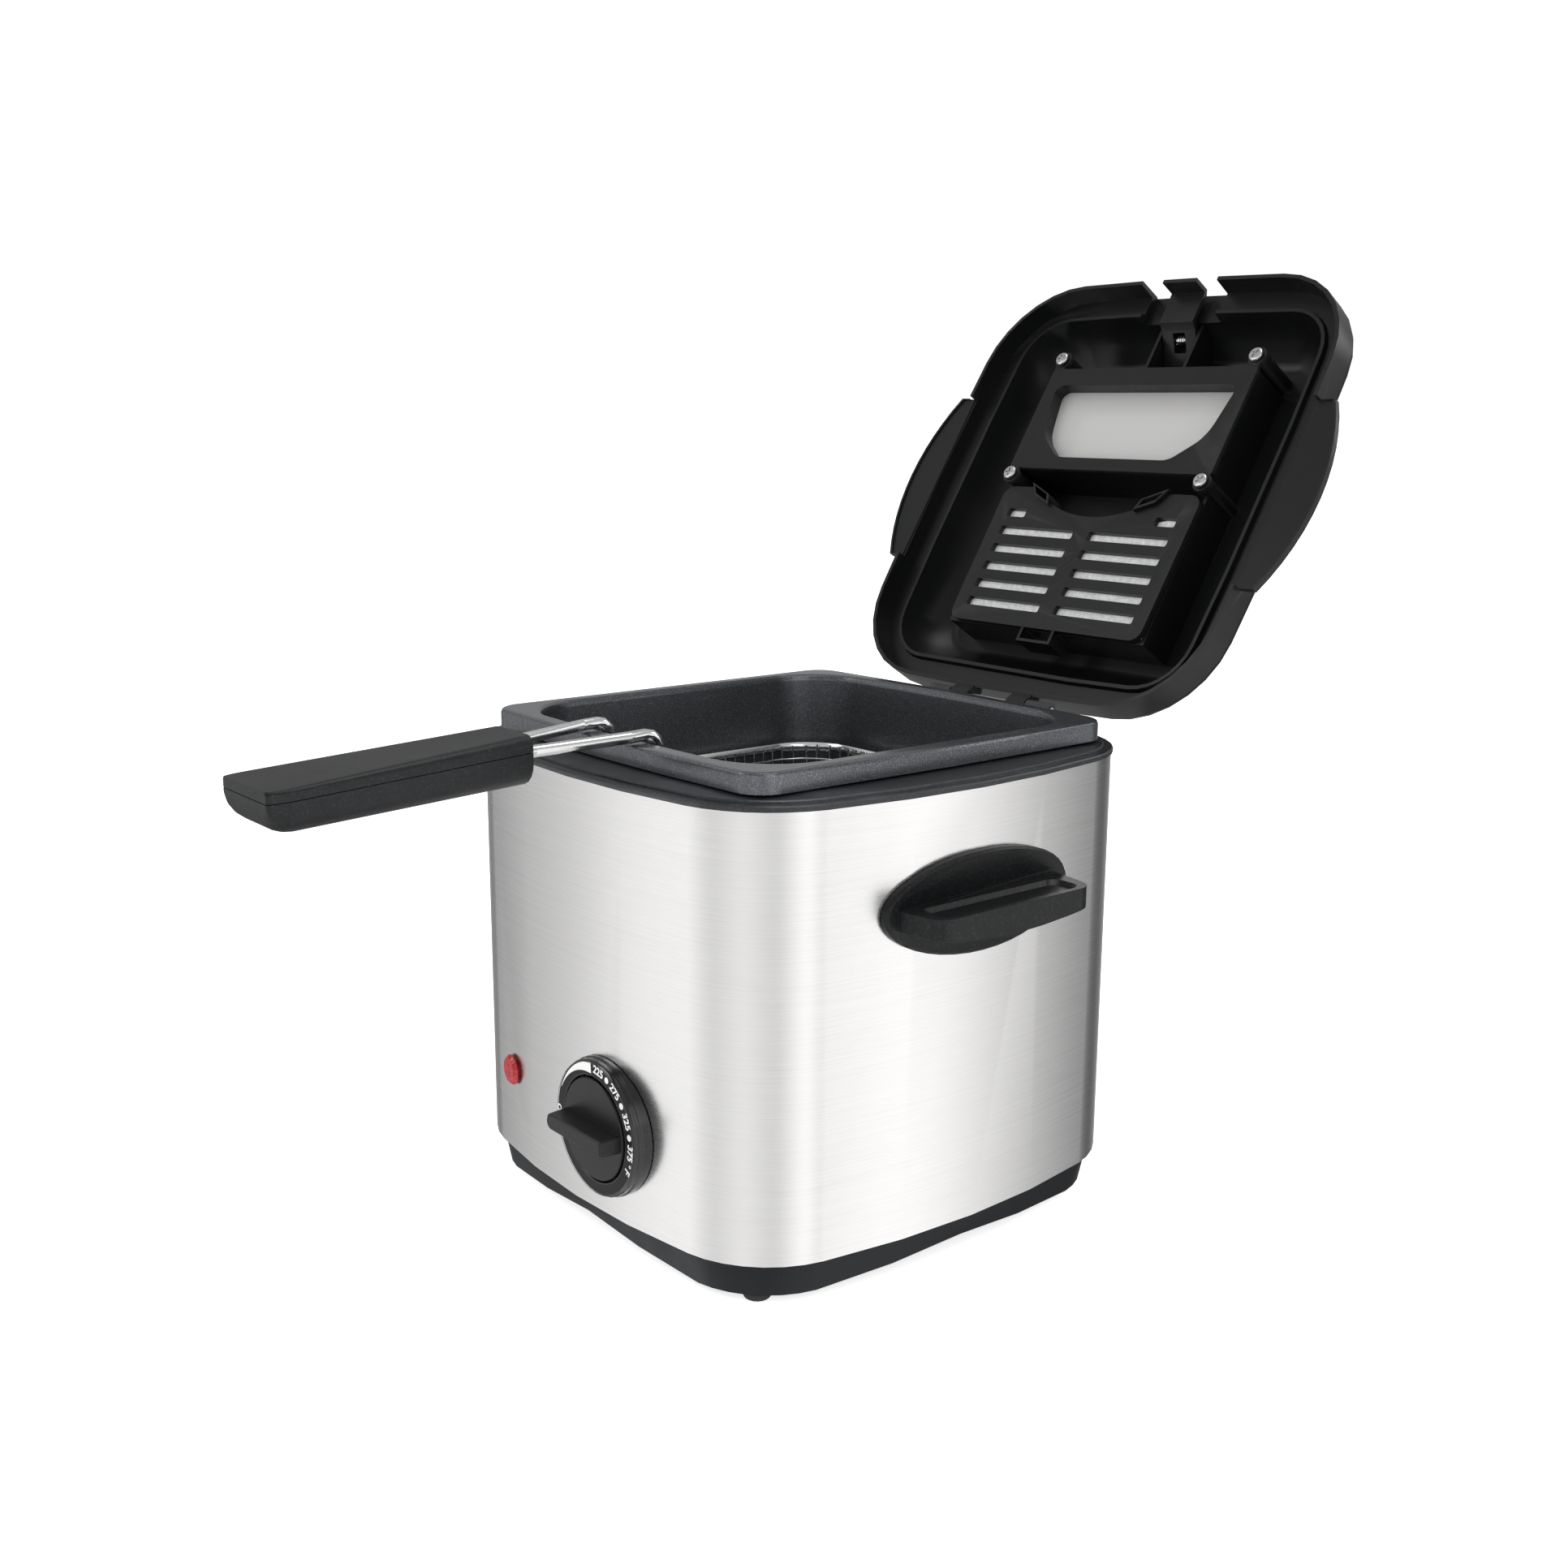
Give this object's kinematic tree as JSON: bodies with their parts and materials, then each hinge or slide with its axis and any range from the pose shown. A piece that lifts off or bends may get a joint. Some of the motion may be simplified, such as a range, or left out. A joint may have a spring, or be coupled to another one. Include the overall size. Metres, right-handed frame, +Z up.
{
  "type": "deep fryer",
  "caption": "Compact square deep fryer with a brushed steel body, hinged lid with window and filter, front dial and lift-out wire basket.",
  "frame": {"origin": "on the worktop plane, under the centre of the square body, midway between the four feet", "axes": "+Z up; +X towards the right-hand side grip; -Y towards the dial and the basket handle, +Y towards the lid hinge"},
  "size_m": [0.267, 0.5006, 0.3944],
  "materials": {
    "brushed_steel": "horizontally brushed stainless sheet",
    "black_plastic": "satin black moulded plastic",
    "textured_plastic": "fine-grained charcoal plastic",
    "gloss_plastic": "glossy black plastic",
    "coated_pot": "speckled grey non-stick coating",
    "bright_wire": "bright plated steel wire",
    "screw_steel": "zinc-plated steel",
    "sheet_steel": "plain steel",
    "aluminium": "plain aluminium",
    "copper": "drawn copper",
    "glass": "clear toughened pane",
    "lamp_red": "translucent red plastic",
    "rubber": "black rubber",
    "filter_felt": "grey fibrous mat",
    "lead_red": "red insulated lead",
    "lead_grey": "grey insulated lead"
  },
  "bodies": {
    "housing": {"outer_sleeve": "brushed_steel", "base_pan": "black_plastic", "top_collar": "black_plastic", "hinge_pin": "screw_steel", "oil_pot": "coated_pot", "heat_spreader": "aluminium", "heating_element": "sheet_steel", "clamp_strap": "sheet_steel", "clamp_nut": "screw_steel", "thermal_fuse": "sheet_steel", "sensor_tube": "copper", "thermostat_bracket": "sheet_steel", "thermostat_body": "gloss_plastic", "dial_plate": "gloss_plastic", "lamp_lens": "lamp_red", "neon_bulb": "glass", "power_inlet": "black_plastic", "inlet_pin_left": "screw_steel", "inlet_pin_right": "screw_steel", "magnet_plate": "sheet_steel", "lead_live": "lead_red", "lead_neutral": "rubber", "lead_switched": "lead_grey", "side_grip_left": "textured_plastic", "side_grip_right": "textured_plastic", "foot_1": "rubber", "tie_bolt_1": "screw_steel", "foot_2": "rubber", "tie_bolt_2": "screw_steel", "foot_3": "rubber", "tie_bolt_3": "screw_steel", "foot_4": "rubber", "tie_bolt_4": "screw_steel", "grip_screw_left_front": "screw_steel", "grip_screw_left_rear": "screw_steel", "grip_screw_right_front": "screw_steel", "grip_screw_right_rear": "screw_steel"},
    "lid": {"lid_shell": "black_plastic", "window_frame": "black_plastic", "window_glass": "glass", "window_seal": "rubber", "filter_pad": "filter_felt", "lid_screw_1": "screw_steel", "lid_screw_2": "screw_steel", "lid_screw_3": "screw_steel", "lid_screw_4": "screw_steel", "latch_pin": "screw_steel", "latch_spring": "screw_steel"},
    "latch": {"lid_latch": "black_plastic"},
    "filter_cover": {"filter_cover": "black_plastic"},
    "knob": {"control_knob": "black_plastic", "knob_shaft": "screw_steel"},
    "basket": {"wire_basket": "bright_wire", "basket_rim": "bright_wire", "handle_bracket": "bright_wire"},
    "basket_handle": {"handle_wire": "bright_wire", "grip_upper": "textured_plastic", "grip_lower": "textured_plastic", "grip_screw": "screw_steel"}
  },
  "joints": [
    {"name": "lid_hinge", "type": "hinge", "parent": "housing", "child": "lid", "pos_m": [0, 0.118, 0.1993], "axis": [-1, 0, 0], "range_deg": [-122.4, 0]},
    {"name": "latch_pivot", "type": "hinge", "parent": "lid", "child": "latch", "pos_m": [0, 0.24534, 0.36543], "axis": [-1, 0, 0], "range_deg": [0, 6], "stiffness_Nm_per_rad": 0.05},
    {"name": "filter_cover_pull", "type": "slide", "parent": "lid", "child": "filter_cover", "axis": [0, -0.8443, 0.5358], "range_m": [0, 0.03]},
    {"name": "temperature_knob", "type": "hinge", "parent": "housing", "child": "knob", "pos_m": [0.022, -0.11337, 0.0556], "axis": [0, 1, 0], "range_deg": [0, 215]},
    {"name": "basket_lift", "type": "slide", "parent": "housing", "child": "basket", "axis": [0, 0, 1], "range_m": [0, 0.19]},
    {"name": "handle_unplug", "type": "slide", "parent": "basket", "child": "basket_handle", "axis": [0, 0, 1], "range_m": [0, 0.04]}
  ]
}
